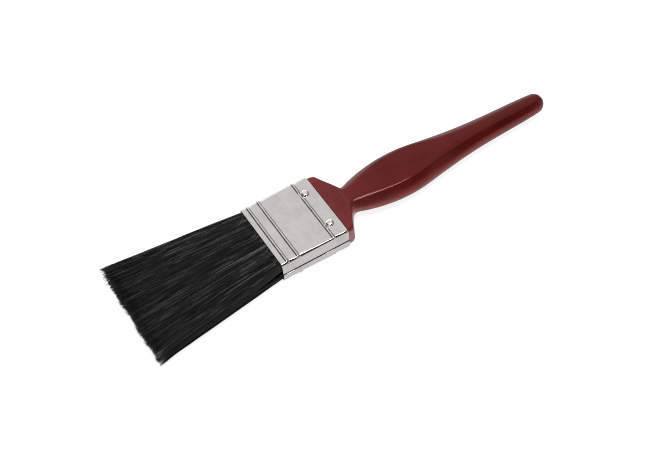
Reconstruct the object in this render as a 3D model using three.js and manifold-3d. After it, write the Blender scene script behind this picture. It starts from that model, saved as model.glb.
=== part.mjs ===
// Flat trim paint brush, 38 mm (1 1/2 in): beavertail handle, beaded flat ferrule, two banks of filaments.
// Millimetres. +X runs towards the handle's tail, +Z up out of the face that shows, the brush lies flat.
// The origin is under the middle of the brush: halfway along it, on its centre line, level with its lowest point.
import * as THREE from 'three';
import { mergeVertices } from 'three/addons/utils/BufferGeometryUtils.js';
import Module from 'manifold-3d';

const wasm = await Module();
wasm.setup();

// ---------------------------------------------------------------- driving dimensions (mm)
const FREE_LENGTH = 69.5; // filaments showing beyond the ferrule's mouth
const TAIL_END = 155.5; // mouth to the end of the handle
const MID_X = (TAIL_END - FREE_LENGTH) / 2;

const FERRULE_LENGTH = 34.8;
const FERRULE_HALF_W = 19.5;
const FERRULE_HALF_T = 5.95;
const FERRULE_CORNER = 2.1;
const SHEET = 0.5; // sheet thickness
const BEAD_H = 0.45; // how far each bead stands out
const BEAD_HALF_L = 0.95; // half the bead's length along the brush
const BEADS = [3.2, 8.85, 27.3]; // bead centres, from the mouth
const LAP = 0.32; // step of the lapped seam on the near narrow side
const LAP_Z = -0.9; // height of the lap's free edge, which faces up

const FIT = 0.3; // clearance between pieces that would touch
const TENON_START = 14.5; // front end of the wood inside the ferrule
const TENON_HALF_W = FERRULE_HALF_W - SHEET - FIT;
const TENON_HALF_T = FERRULE_HALF_T - SHEET - FIT;

// nail positions: distance from the mouth and from the centre line; driven by hand, so the pairs don't quite line up
const NAILS = {
  nail_top_far: [29.5, 10.5, 1],
  nail_top_near: [30.1, -10.7, 1],
  nail_bottom_far: [29.9, 7.6, -1], // the lower pair sits further in, so the shanks pass each other
  nail_bottom_near: [29.6, -7.6, -1],
};
const NAIL_HEAD_R = 1.95;
const NAIL_HEAD_H = 1.15;
const NAIL_SHANK_R = 0.65;
const NAIL_LENGTH = 8.4;
const NAIL_LIFT = 0.05; // under the head
const HOLE_R = 0.95;

const PLUG_HALF_T = 1.2;
const ROOT_BACK = 10.2; // rear end of the held filaments and of the plug
const HINGE_R_ROOT = 5.2; // rounded nose of the held filaments, about the bending line
const HINGE_R_FREE = 5.6; // matching hollow in the free filaments
const HINGE_WEDGE = 56; // degrees from the brush's axis: the free length never reaches the ferrule when bent
const MOUTH_HALF_W = TENON_HALF_W;
const MOUTH_HALF_T = TENON_HALF_T;
const TIP_HALF_W = 28.3; // the filling fans out
const TIP_HALF_T = 5.7;
const TUFTS = 5; // tufts across each bank
const TUFT_GAP = 0.3;

const LOWEST = FERRULE_HALF_T + NAIL_LIFT + NAIL_HEAD_H; // the lower nail heads

// ---------------------------------------------------------------- colours
const LACQUER = 0x6a1e22;
const NICKEL = 0xc9c5c2;
const NAIL = 0xcfc5ae;
const FILAMENT = 0x1d1c1c;
const EPOXY = 0x8a6a3c;
const PLUG_WOOD = 0xb08a5c;

// ---------------------------------------------------------------- geometry helpers
const smooth = (t) => t * t * (3 - 2 * t);

/** Monotone cubic through [x, value] pairs. */
function curve(pairs) {
  const xs = pairs.map((p) => p[0]), ys = pairs.map((p) => p[1]), n = xs.length;
  const d = [], m = [];
  for (let i = 0; i < n - 1; i++) d.push((ys[i + 1] - ys[i]) / (xs[i + 1] - xs[i]));
  m.push(d[0]);
  for (let i = 1; i < n - 1; i++) m.push(d[i - 1] * d[i] <= 0 ? 0 : (2 * d[i - 1] * d[i]) / (d[i - 1] + d[i]));
  m.push(d[n - 2]);
  return (x) => {
    if (x <= xs[0]) return ys[0];
    if (x >= xs[n - 1]) return ys[n - 1];
    let i = 0;
    while (x > xs[i + 1]) i++;
    const h = xs[i + 1] - xs[i], t = (x - xs[i]) / h, t2 = t * t, t3 = t2 * t;
    return (2 * t3 - 3 * t2 + 1) * ys[i] + (t3 - 2 * t2 + t) * h * m[i] + (-2 * t3 + 3 * t2) * ys[i + 1] + (t3 - t2) * h * m[i + 1];
  };
}

/** Closed body through a row of rings with the same number of points; each end is closed by a fan. */
function loft(rings) {
  const n = rings[0].length, position = [], index = [];
  for (const ring of rings) for (const p of ring) position.push(...p);
  for (let i = 0; i < rings.length - 1; i++)
    for (let j = 0; j < n; j++) {
      const a = i * n + j, b = i * n + ((j + 1) % n), c = a + n, d = b + n;
      index.push(a, b, d, a, d, c);
    }
  for (const [k, flip] of [[0, true], [rings.length - 1, false]]) {
    const ring = rings[k], centre = [0, 1, 2].map((c) => ring.reduce((s, p) => s + p[c], 0) / n);
    const at = position.length / 3;
    position.push(...centre);
    for (let j = 0; j < n; j++) {
      const a = k * n + j, b = k * n + ((j + 1) % n);
      index.push(...(flip ? [at, b, a] : [at, a, b]));
    }
  }
  const g = new THREE.BufferGeometry();
  g.setAttribute('position', new THREE.Float32BufferAttribute(position, 3));
  g.setIndex(index);
  return outward(g);
}

/** Turns the faces out if the volume comes out negative. */
function outward(g) {
  const p = g.attributes.position, ix = g.index.array;
  let v = 0;
  const a = new THREE.Vector3(), b = new THREE.Vector3(), c = new THREE.Vector3();
  for (let i = 0; i < ix.length; i += 3) {
    a.fromBufferAttribute(p, ix[i]); b.fromBufferAttribute(p, ix[i + 1]); c.fromBufferAttribute(p, ix[i + 2]);
    v += a.dot(b.cross(c));
  }
  if (v < 0) for (let i = 0; i < ix.length; i += 3) [ix[i + 1], ix[i + 2]] = [ix[i + 2], ix[i + 1]];
  return g;
}

function toSolid(geometry) {
  const g = geometry.clone();
  g.deleteAttribute('normal');
  g.deleteAttribute('uv');
  const m = mergeVertices(g, 1e-4);
  return new wasm.Manifold(new wasm.Mesh({
    numProp: 3,
    vertProperties: new Float32Array(m.attributes.position.array),
    triVerts: new Uint32Array(m.index.array),
  }));
}

function toGeometry(solid) {
  const mesh = solid.getMesh();
  const g = new THREE.BufferGeometry();
  g.setAttribute('position', new THREE.Float32BufferAttribute(mesh.vertProperties, 3));
  g.setIndex(Array.from(mesh.triVerts));
  return g;
}

const mesh = (name, geometry, color, roughness, metalness) => {
  geometry.computeVertexNormals();
  const m = new THREE.Mesh(geometry, new THREE.MeshStandardMaterial({ color, roughness, metalness }));
  m.name = name;
  return m;
};

/** Straight block with rounded long edges, from x0 to x1. */
function bar(x0, x1, halfW, z0, z1, r) {
  const s = new THREE.Shape();
  s.moveTo(-halfW + r, z0); s.lineTo(halfW - r, z0); s.absarc(halfW - r, z0 + r, r, -Math.PI / 2, 0);
  s.lineTo(halfW, z1 - r); s.absarc(halfW - r, z1 - r, r, 0, Math.PI / 2);
  s.lineTo(-halfW + r, z1); s.absarc(-halfW + r, z1 - r, r, Math.PI / 2, Math.PI);
  s.lineTo(-halfW, z0 + r); s.absarc(-halfW + r, z0 + r, r, Math.PI, Math.PI * 1.5);
  const g = new THREE.ExtrudeGeometry(s, { depth: x1 - x0, bevelEnabled: false, curveSegments: 3 });
  // the section lies in Y-Z and runs along X
  g.applyMatrix4(new THREE.Matrix4().makeBasis(new THREE.Vector3(0, 1, 0), new THREE.Vector3(0, 0, 1), new THREE.Vector3(1, 0, 0)));
  g.translate(x0, 0, 0);
  return g;
}

/** Upright drill, centred on (x, y), from z0 to z1. */
function drill(x, y, z0, z1, r) {
  const g = new THREE.CylinderGeometry(r, r, z1 - z0, 14);
  g.rotateX(Math.PI / 2);
  g.translate(x, y, (z0 + z1) / 2);
  return toSolid(g);
}

/** Bar lying across the brush, along Y, about the bending line at the mouth. */
function crossBar(r, sides = 32) {
  const g = new THREE.CylinderGeometry(r, r, 90, sides);
  return toSolid(g);
}

// ---------------------------------------------------------------- ferrule
const bead = (x) => BEADS.reduce((h, c) => {
  const t = Math.abs(x - c) / BEAD_HALF_L;
  return t < 1 ? h + BEAD_H * 0.5 * (1 + Math.cos(Math.PI * t)) : h;
}, 0);

/** One ring of the sleeve: a rounded rectangle grown by grow. lap > 0 adds the lapped layer on the near narrow side. */
function sleeveRing(x, grow, lap) {
  const w = FERRULE_HALF_W + grow, t = FERRULE_HALF_T + grow, r = Math.max(FERRULE_CORNER + grow, 0.8);
  const ring = [], SEG = 4;
  const corner = (cy, cz, from) => {
    for (let i = 0; i <= SEG; i++) {
      const a = from + (i / SEG) * (Math.PI / 2);
      ring.push([x, cy + r * Math.cos(a), cz + r * Math.sin(a)]);
    }
  };
  corner(w - r, t - r, 0); // far upper
  corner(-w + r, t - r, Math.PI / 2); // near upper
  // near narrow side, going down: the lapped layer begins with a step and lies outside from there on
  ring.push([x, -w, LAP_Z + 0.06]);
  ring.push([x, -w - lap, LAP_Z]);
  ring.push([x, -w - lap, LAP_Z - 1.9]);
  corner(-w + r, -t + r, Math.PI); // near lower
  corner(w - r, -t + r, Math.PI * 1.5); // far lower
  return ring;
}

function ferrule() {
  const xs = [0];
  for (const c of BEADS) for (const k of [-1, -0.6, -0.2, 0.2, 0.6, 1]) xs.push(c + k * BEAD_HALF_L);
  xs.push(FERRULE_LENGTH);
  const outer = loft(xs.map((x) => sleeveRing(x, bead(x), LAP)));
  const inner = loft([-1, ...xs.slice(1, -1), FERRULE_LENGTH + 1].map((x) => sleeveRing(x, bead(x) - SHEET, 0)));
  let s = toSolid(outer).subtract(toSolid(inner));
  for (const [x, y, side] of Object.values(NAILS)) {
    s = s.subtract(drill(x, y, side > 0 ? 3 : -9, side > 0 ? 9 : -3, HOLE_R));
    // the head flattens the edge of the bead beside it
    const seat = FERRULE_HALF_T + 0.02;
    s = s.subtract(drill(x, y, side > 0 ? seat : -9, side > 0 ? 9 : -seat, NAIL_HEAD_R + 0.12));
  }
  return toGeometry(s);
}

// ---------------------------------------------------------------- handle
// half width, half thickness, and half width of the flat top, along the handle
const HALF_W = curve([
  [35.6, 18.9], [37.4, 18.75], [38.4, 18.2], [39.1, 16.95], [40.5, 14.3], [42.0, 11.7], [43.4, 9.4], [44.6, 7.95], [45.6, 7.45],
  [46.8, 7.5], [49, 8.3], [51, 9.1], [53, 9.75], [57, 10.8], [61, 11.5], [65, 12.0], [69, 12.3], [73, 12.4],
  [77, 12.2], [81, 11.75], [85, 11.15], [89, 10.5], [93, 9.9], [97, 9.35], [101, 8.75], [105, 8.15], [109, 7.6], [113, 7.15],
  [117, 6.8], [121, 6.53], [125, 6.3], [129, 6.1], [137, 5.75], [145, 5.35], [149, 5.05], [151, 4.7]]);
const HALF_T = curve([
  [35.6, 5.42], [40, 5.42], [43.2, 5.3], [44.8, 5.05], [46.2, 4.85], [48, 4.95], [52, 5.25], [60, 5.78], [68, 6.1], [75, 6.2], [82, 6.2],
  [92, 6.1], [102, 5.95], [110, 5.8], [120, 5.6], [130, 5.35], [140, 5.1], [150, 4.75]]);
const FLAT = curve([
  [35.6, 17.1], [37.4, 16.9], [38.4, 16.3], [39.1, 15.0], [40.5, 12.3], [42.0, 9.6], [43.4, 7.1], [44.6, 5.0], [45.6, 3.2],
  [46.8, 2.4], [48.5, 2.4], [52, 3.5], [61, 6.4], [69, 8.0], [78, 8.3], [85, 7.5], [92, 5.6], [99, 3.3], [106, 1.7], [114, 0.9], [125, 0.6], [150, 0.5]]);
const SIDE_FLAT = curve([[35.6, 3.6], [36.6, 3.3], [37.6, 2.7], [38.6, 2.0], [39.6, 1.4], [41, 0.9], [43.4, 0.5], [45.6, 0.2], [47.5, 0], [150, 0]]);
const EDGE_M = curve([[35.6, 2], [43, 2], [47, 1.8], [54, 1.5], [84, 1.45], [100, 1.75], [112, 2], [150, 2]]);
const EDGE_K = curve([[35.6, 2], [43, 2], [47, 1.9], [56, 1.75], [88, 1.75], [104, 1.9], [114, 2], [150, 2]]);
const CROWN = curve([[35.6, 0], [44, 0.01], [52, 0.04], [90, 0.05], [150, 0.05]]);
const TAIL_ROUND = 5.2; // the tail closes over this length

function handleRing(x) {
  const from = TAIL_END - TAIL_ROUND;
  const k = x > from ? Math.sqrt(Math.max(1 - ((x - from) / TAIL_ROUND) ** 2, 0.0025)) : 1;
  const a = HALF_W(Math.min(x, from)) * k, b = HALF_T(Math.min(x, from)) * k, f = FLAT(Math.min(x, from)) * k;
  const v = SIDE_FLAT(x) * k, m = EDGE_M(x), q = EDGE_K(x), c = CROWN(x) * Math.min((f / 8) ** 2, 1);
  const quarter = [];
  for (const t of [0, 0.5]) quarter.push([f * t, b * (1 - c * t * t)]);
  const zf = b * (1 - c);
  for (let i = 0; i <= 5; i++) {
    const th = (i / 5) * (Math.PI / 2);
    quarter.push([f + (a - f) * Math.sin(th) ** (2 / m), v + (zf - v) * Math.cos(th) ** (2 / q)]);
  }
  if (v > 0.05) quarter.push([a, 0]);
  else quarter.push([a, 0]), (quarter[quarter.length - 2] = [f + (a - f) * 0.985, v + (zf - v) * 0.14]);
  const ring = [];
  for (let i = 0; i < quarter.length; i++) ring.push([x, quarter[i][0], quarter[i][1]]);
  for (let i = quarter.length - 2; i > 0; i--) ring.push([x, quarter[i][0], -quarter[i][1]]);
  ring.push([x, 0, -quarter[0][1]]);
  for (let i = 1; i < quarter.length; i++) ring.push([x, -quarter[i][0], -quarter[i][1]]);
  for (let i = quarter.length - 2; i > 0; i--) ring.push([x, -quarter[i][0], quarter[i][1]]);
  return ring;
}

/** Tenon ring: the same number of points, a rounded rectangle. */
function tenonRing(x, w, t, r) {
  const q = [[0, t], [(w - r) / 2, t]];
  for (let i = 0; i <= 5; i++) q.push([w - r + r * Math.sin((i / 5) * (Math.PI / 2)), t - r + r * Math.cos((i / 5) * (Math.PI / 2))]);
  q.push([w, 0]);
  const ring = q.map(([y, z]) => [x, y, z]);
  for (let i = q.length - 2; i > 0; i--) ring.push([x, q[i][0], -q[i][1]]);
  ring.push([x, 0, -t]);
  for (let i = 1; i < q.length; i++) ring.push([x, -q[i][0], -q[i][1]]);
  for (let i = q.length - 2; i > 0; i--) ring.push([x, -q[i][0], q[i][1]]);
  return ring;
}

function handle() {
  const rings = [
    tenonRing(TENON_START, TENON_HALF_W - 1.0, TENON_HALF_T - 0.7, 1.2),
    tenonRing(TENON_START + 1.6, TENON_HALF_W, TENON_HALF_T, 1.6),
    tenonRing(FERRULE_LENGTH + 0.2, TENON_HALF_W, TENON_HALF_T, 1.6),
  ];
  const xs = [35.3, 37.2, 38.3, 38.9, 40.3, 42, 43.4, 44.5, 45.5, 46.5, 48, 50, 52.5, 56, 60, 64.5, 69, 73.5, 78, 82.5, 87, 91.5, 96, 101, 106,
    112, 119, 127, 135, 143, 150.3, 152.2, 153.7, 154.8, 155.35, 155.5];
  for (const x of xs) rings.push(handleRing(x));
  let s = toSolid(loft(rings));
  const deep = NAIL_LENGTH - FERRULE_HALF_T + 0.4;
  for (const [x, y, side] of Object.values(NAILS)) s = s.subtract(drill(x, y, side > 0 ? -deep : -8, side > 0 ? 8 : deep, HOLE_R));
  return toGeometry(s);
}

// ---------------------------------------------------------------- nails
function nail() {
  const profile = [[0, -NAIL_LENGTH], [NAIL_SHANK_R * 0.5, -NAIL_LENGTH + 1.0], [NAIL_SHANK_R, -NAIL_LENGTH + 2.2], [NAIL_SHANK_R, NAIL_LIFT]];
  const steps = 5;
  for (let i = 0; i <= steps; i++) {
    const a = (i / steps) * (Math.PI / 2);
    profile.push([i === steps ? 0 : NAIL_HEAD_R * Math.cos(a), NAIL_LIFT + NAIL_HEAD_H * Math.sin(a) ** 0.9]);
  }
  const g = new THREE.LatheGeometry(profile.map(([r, y]) => new THREE.Vector2(r, y)), 18);
  g.rotateX(Math.PI / 2); // the lathe's axis becomes Z
  g.deleteAttribute('normal');
  g.deleteAttribute('uv');
  return outward(mergeVertices(g, 1e-4));
}

// ---------------------------------------------------------------- filaments
const fanHalfW = (s) => MOUTH_HALF_W + (TIP_HALF_W - MOUTH_HALF_W) * Math.pow(Math.min(s / FREE_LENGTH, 1), 0.93);
const fanHalfT = (s) => MOUTH_HALF_T + (TIP_HALF_T - MOUTH_HALF_T) * Math.min(s / 14, 1);
const bankGap = (s) => PLUG_HALF_T + 0.1 + (TUFT_GAP / 2 - PLUG_HALF_T - 0.1) * smooth(Math.min(s / 16, 1)); // the two banks close beyond the plug

/** One tuft of the free filaments, number i of TUFTS, from the far side. side is 1 for the upper bank, -1 for the lower. */
function tuft(i, side, keepOut) {
  const rings = [0.4, 5, 10, 16, 26, 40, 55, FREE_LENGTH].map((s) => {
    const w = fanHalfW(s), t = fanHalfT(s), g = bankGap(s);
    const yFar = w - (i * 2 * w) / TUFTS - (i ? TUFT_GAP / 2 : 0), yNear = w - ((i + 1) * 2 * w) / TUFTS + (i < TUFTS - 1 ? TUFT_GAP / 2 : 0);
    const round = 2.2, pts = [[yFar, g]];
    // the outer tufts carry the rounded corner of the filling
    if (i === 0) pts.push([w, t - round], [w - round * 0.3, t - round * 0.3], [w - round, t]);
    else pts.push([yFar, t - 1.2], [yFar, t - 0.6], [yFar, t]);
    if (i === TUFTS - 1) pts.push([-w + round, t], [-w + round * 0.3, t - round * 0.3], [-w, t - round]);
    else pts.push([yNear, t], [yNear, t - 0.6], [yNear, t - 1.2]);
    pts.push([yNear, g]);
    return pts.map(([y, z]) => [-s, y, side * z]);
  });
  return toGeometry(toSolid(loft(rings)).subtract(keepOut));
}

/** What the free length must stay out of: the rounded nose of the held filaments and a wedge each side of it. */
function freeKeepOut() {
  const reach = 12, dx = -reach / Math.tan((HINGE_WEDGE * Math.PI) / 180);
  const s = new THREE.Shape();
  s.moveTo(0, 0); s.lineTo(dx, reach); s.lineTo(20, reach); s.lineTo(20, -reach); s.lineTo(dx, -reach); s.lineTo(0, 0);
  const g = new THREE.ExtrudeGeometry(s, { depth: 90, bevelEnabled: false });
  g.translate(0, 0, -45);
  g.rotateX(Math.PI / 2); // drawn in X-Z, runs along Y
  return toSolid(g).add(crossBar(HINGE_R_FREE));
}

/** Held filaments of one bank, from the resin to a rounded nose at the mouth. */
function root(side) {
  const z0 = PLUG_HALF_T + FIT, z1 = MOUTH_HALF_T;
  const block = toSolid(bar(-HINGE_R_ROOT - 1, ROOT_BACK, MOUTH_HALF_W, side > 0 ? z0 : -z1, side > 0 ? z1 : -z0, 0.6));
  const inside = new THREE.BoxGeometry(ROOT_BACK + 5, 90, 20);
  inside.translate((ROOT_BACK + 5) / 2, 0, 0);
  return toGeometry(block.intersect(toSolid(inside).add(crossBar(HINGE_R_ROOT))));
}

// ---------------------------------------------------------------- assembly
const brush = new THREE.Group();
brush.position.set(-MID_X, 0, LOWEST);

brush.add(mesh('handle', handle(), LACQUER, 0.18, 0));
brush.add(mesh('ferrule', ferrule(), NICKEL, 0.22, 1));
brush.add(mesh('setting_resin', bar(ROOT_BACK + FIT, TENON_START - FIT, TENON_HALF_W, -TENON_HALF_T, TENON_HALF_T, 1.6), EPOXY, 0.4, 0));
brush.add(mesh('spacer_plug', bar(2.0, ROOT_BACK, MOUTH_HALF_W - 0.4, -PLUG_HALF_T, PLUG_HALF_T, 0.4), PLUG_WOOD, 0.8, 0));

const nails = new THREE.Group();
for (const [name, [x, y, side]] of Object.entries(NAILS)) {
  const n = mesh(name, nail(), NAIL, 0.25, 1);
  n.position.set(x, y, side * FERRULE_HALF_T);
  if (side < 0) n.rotation.x = Math.PI;
  nails.add(n);
}
brush.add(nails);

brush.add(mesh('bristle_root_upper', root(1), FILAMENT, 0.6, 0));
brush.add(mesh('bristle_root_lower', root(-1), FILAMENT, 0.6, 0));

const filling = new THREE.Group();
const keepOut = freeKeepOut();
for (let i = 0; i < TUFTS; i++) {
  filling.add(mesh(`bristle_upper_${i + 1}`, tuft(i, 1, keepOut), FILAMENT, 0.6, 0));
  filling.add(mesh(`bristle_lower_${i + 1}`, tuft(i, -1, keepOut), FILAMENT, 0.6, 0));
}
brush.add(filling);

export default brush;
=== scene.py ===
"""Looks of the flat trim paint brush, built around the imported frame. Lengths are written in millimetres from the ferrule's
mouth, as in the CAD, and turned into metres in the row frame by row()."""

import math

import bmesh
import bpy
import numpy as np
from mathutils import Matrix, Vector


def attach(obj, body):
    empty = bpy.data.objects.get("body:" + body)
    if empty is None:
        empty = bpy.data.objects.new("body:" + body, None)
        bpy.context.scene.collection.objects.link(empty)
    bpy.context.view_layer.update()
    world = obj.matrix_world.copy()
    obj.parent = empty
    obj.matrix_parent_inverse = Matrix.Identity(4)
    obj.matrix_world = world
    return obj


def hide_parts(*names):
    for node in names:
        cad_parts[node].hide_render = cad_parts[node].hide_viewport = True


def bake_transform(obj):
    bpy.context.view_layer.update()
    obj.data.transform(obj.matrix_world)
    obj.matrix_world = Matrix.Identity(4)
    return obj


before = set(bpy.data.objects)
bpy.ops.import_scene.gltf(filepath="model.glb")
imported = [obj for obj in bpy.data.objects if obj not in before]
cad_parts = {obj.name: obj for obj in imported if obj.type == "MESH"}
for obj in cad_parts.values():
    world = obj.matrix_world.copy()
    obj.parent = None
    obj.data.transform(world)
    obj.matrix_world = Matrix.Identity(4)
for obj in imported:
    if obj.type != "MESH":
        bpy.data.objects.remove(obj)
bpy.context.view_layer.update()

# ------------------------------------------------------------------ frame
MM = 0.001
FREE, TAIL_END = 69.5, 155.5
MID_X = (TAIL_END - FREE) / 2
LOWEST = 7.15
FER_L, FER_W, FER_T, FER_R = 34.8, 19.5, 5.95, 2.1
BEADS = (3.2, 8.85, 27.3)
NAILS = {
    "nail_top_far": (29.5, 10.5, 1),
    "nail_top_near": (30.1, -10.7, 1),
    "nail_bottom_far": (29.9, 7.6, -1),
    "nail_bottom_near": (29.6, -7.6, -1),
}


def row(p):
    """Millimetres from the mouth, on the brush's own middle plane, to metres in the row frame."""
    p = np.asarray(p, float)
    return (p + np.array([-MID_X, 0.0, LOWEST])) * MM


def smoothstep(t):
    t = np.clip(t, 0.0, 1.0)
    return t * t * (3 - 2 * t)


def curve(pairs):
    """The CAD's monotone cubic, for arrays."""
    xs = np.array([p[0] for p in pairs], float)
    ys = np.array([p[1] for p in pairs], float)
    d = np.diff(ys) / np.diff(xs)
    m = np.empty(len(xs))
    m[0], m[-1] = d[0], d[-1]
    prod = d[:-1] * d[1:]
    m[1:-1] = np.where(prod <= 0, 0, 2 * prod / np.where(d[:-1] + d[1:] == 0, 1, d[:-1] + d[1:]))

    def f(x):
        x = np.clip(np.asarray(x, float), xs[0], xs[-1])
        i = np.clip(np.searchsorted(xs, x, side="right") - 1, 0, len(xs) - 2)
        h = xs[i + 1] - xs[i]
        t = (x - xs[i]) / h
        return (
            (2 * t**3 - 3 * t**2 + 1) * ys[i]
            + (t**3 - 2 * t**2 + t) * h * m[i]
            + (-2 * t**3 + 3 * t**2) * ys[i + 1]
            + (t**3 - t**2) * h * m[i + 1]
        )

    return f


def wave_noise(seed, n=10, longest=40.0, shortest=6.0):
    """Smooth repeatable noise of two lengths in millimetres, about -1 to 1."""
    rng = np.random.default_rng(seed)
    lengths = np.exp(rng.uniform(np.log(shortest), np.log(longest), n))
    angles = rng.uniform(0, 2 * np.pi, n)
    phases = rng.uniform(0, 2 * np.pi, n)
    weights = lengths / lengths.sum()

    def f(a, b):
        out = 0
        for l, an, ph, w in zip(lengths, angles, phases, weights):
            out = out + w * np.sin(2 * np.pi * (a * np.cos(an) + b * np.sin(an)) / l + ph)
        return out * 2.2

    return f


# ------------------------------------------------------------------ meshes
def new_object(name, verts, faces, smooth=True, sharp=None):
    me = bpy.data.meshes.new(name)
    me.from_pydata([tuple(v) for v in verts], [], faces)
    me.validate()
    me.update()
    bm = bmesh.new()
    bm.from_mesh(me)
    bmesh.ops.recalc_face_normals(bm, faces=bm.faces)
    bm.to_mesh(me)
    bm.free()
    me.polygons.foreach_set("use_smooth", [smooth] * len(me.polygons))
    if sharp:
        me.set_sharp_from_angle(angle=math.radians(sharp))
    ob = bpy.data.objects.new(name, me)
    bpy.context.scene.collection.objects.link(ob)
    return ob


def loft(rings, cap=True):
    """Rings (n, m, 3) to vertices and quads, with the ends closed by fans."""
    rings = np.asarray(rings, float)
    n, m = rings.shape[:2]
    verts = rings.reshape(-1, 3)
    faces = []
    for i in range(n - 1):
        for j in range(m):
            a, b = i * m + j, i * m + (j + 1) % m
            faces.append((a, b, b + m, a + m))
    if cap:
        verts = np.vstack([verts, rings[0].mean(0), rings[-1].mean(0)])
        c0, c1 = n * m, n * m + 1
        for j in range(m):
            faces.append((c0, (j + 1) % m, j))
            faces.append((c1, (n - 1) * m + j, (n - 1) * m + (j + 1) % m))
    return verts, faces


def drill_holes(ob, radius, spans):
    """Cuts the nails' holes. spans is a list of (x, y, z0, z1) in millimetres."""
    bm = bmesh.new()
    for x, y, z0, z1 in spans:
        centre = Vector(row((x, y, (z0 + z1) / 2)))
        bmesh.ops.create_cone(
            bm, cap_ends=True, segments=32, radius1=radius * MM, radius2=radius * MM, depth=(z1 - z0) * MM,
            matrix=Matrix.Translation(centre),
        )
    me = bpy.data.meshes.new("drills")
    bm.to_mesh(me)
    bm.free()
    cutter = bpy.data.objects.new("drills", me)
    bpy.context.scene.collection.objects.link(cutter)
    mod = ob.modifiers.new("holes", "BOOLEAN")
    mod.operation, mod.solver, mod.object = "DIFFERENCE", "EXACT", cutter
    bpy.context.view_layer.update()
    dg = bpy.context.evaluated_depsgraph_get()
    done = bpy.data.meshes.new_from_object(ob.evaluated_get(dg))
    ob.modifiers.clear()
    ob.data = done
    bpy.data.objects.remove(cutter)


# ------------------------------------------------------------------ materials
def material(name):
    m = bpy.data.materials.new(name)
    m.use_nodes = True
    nt = m.node_tree
    nt.nodes.clear()
    out = nt.nodes.new("ShaderNodeOutputMaterial")
    p = nt.nodes.new("ShaderNodeBsdfPrincipled")
    nt.links.new(p.outputs["BSDF"], out.inputs["Surface"])
    return m, nt, p


def node(nt, kind, **values):
    n = nt.nodes.new(kind)
    for k, v in values.items():
        if k in n.inputs:
            n.inputs[k].default_value = v
        else:
            setattr(n, k, v)
    return n


def stretched(nt, scale):
    """Object coordinates, scaled per axis (1/m)."""
    tc = nt.nodes.new("ShaderNodeTexCoord")
    mp = nt.nodes.new("ShaderNodeMapping")
    mp.inputs["Scale"].default_value = scale
    nt.links.new(tc.outputs["Object"], mp.inputs["Vector"])
    return mp.outputs["Vector"]


def noise(nt, vector, scale, detail=4.0, rough=0.55, distort=0.0):
    n = node(nt, "ShaderNodeTexNoise", Scale=scale, Detail=detail, Roughness=rough, Distortion=distort)
    nt.links.new(vector, n.inputs["Vector"])
    return n.outputs["Fac"]


def ramp(nt, fac, stops):
    r = nt.nodes.new("ShaderNodeValToRGB")
    while len(r.color_ramp.elements) < len(stops):
        r.color_ramp.elements.new(0.5)
    for e, (pos, c) in zip(r.color_ramp.elements, stops):
        e.position = pos
        e.color = (*c, 1.0) if len(c) == 3 else c
    nt.links.new(fac, r.inputs["Fac"])
    return r.outputs["Color"]


def span(nt, fac, lo, hi, a=0.0, b=1.0, kind="LINEAR"):
    m = node(nt, "ShaderNodeMapRange")
    m.interpolation_type = kind
    m.inputs["From Min"].default_value, m.inputs["From Max"].default_value = lo, hi
    m.inputs["To Min"].default_value, m.inputs["To Max"].default_value = a, b
    nt.links.new(fac, m.inputs["Value"])
    return m.outputs["Result"]


def maths(nt, op, a, b):
    m = node(nt, "ShaderNodeMath", operation=op)
    for i, v in enumerate((a, b)):
        if isinstance(v, (int, float)):
            m.inputs[i].default_value = v
        else:
            nt.links.new(v, m.inputs[i])
    return m.outputs["Value"]


def blend_colour(nt, fac, a, b, mode="MIX"):
    m = nt.nodes.new("ShaderNodeMix")
    m.data_type = "RGBA"
    m.blend_type = mode
    for i, v in ((0, fac), (6, a), (7, b)):
        if isinstance(v, (int, float)):
            m.inputs[i].default_value = v
        elif isinstance(v, tuple):
            m.inputs[i].default_value = (*v, 1.0)
        else:
            nt.links.new(v, m.inputs[i])
    return m.outputs[2]


def bump(nt, height, distance, strength=1.0, normal=None):
    b = node(nt, "ShaderNodeBump", Strength=strength, Distance=distance)
    nt.links.new(height, b.inputs["Height"])
    if normal is not None:
        nt.links.new(normal, b.inputs["Normal"])
    return b.outputs["Normal"]


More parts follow.
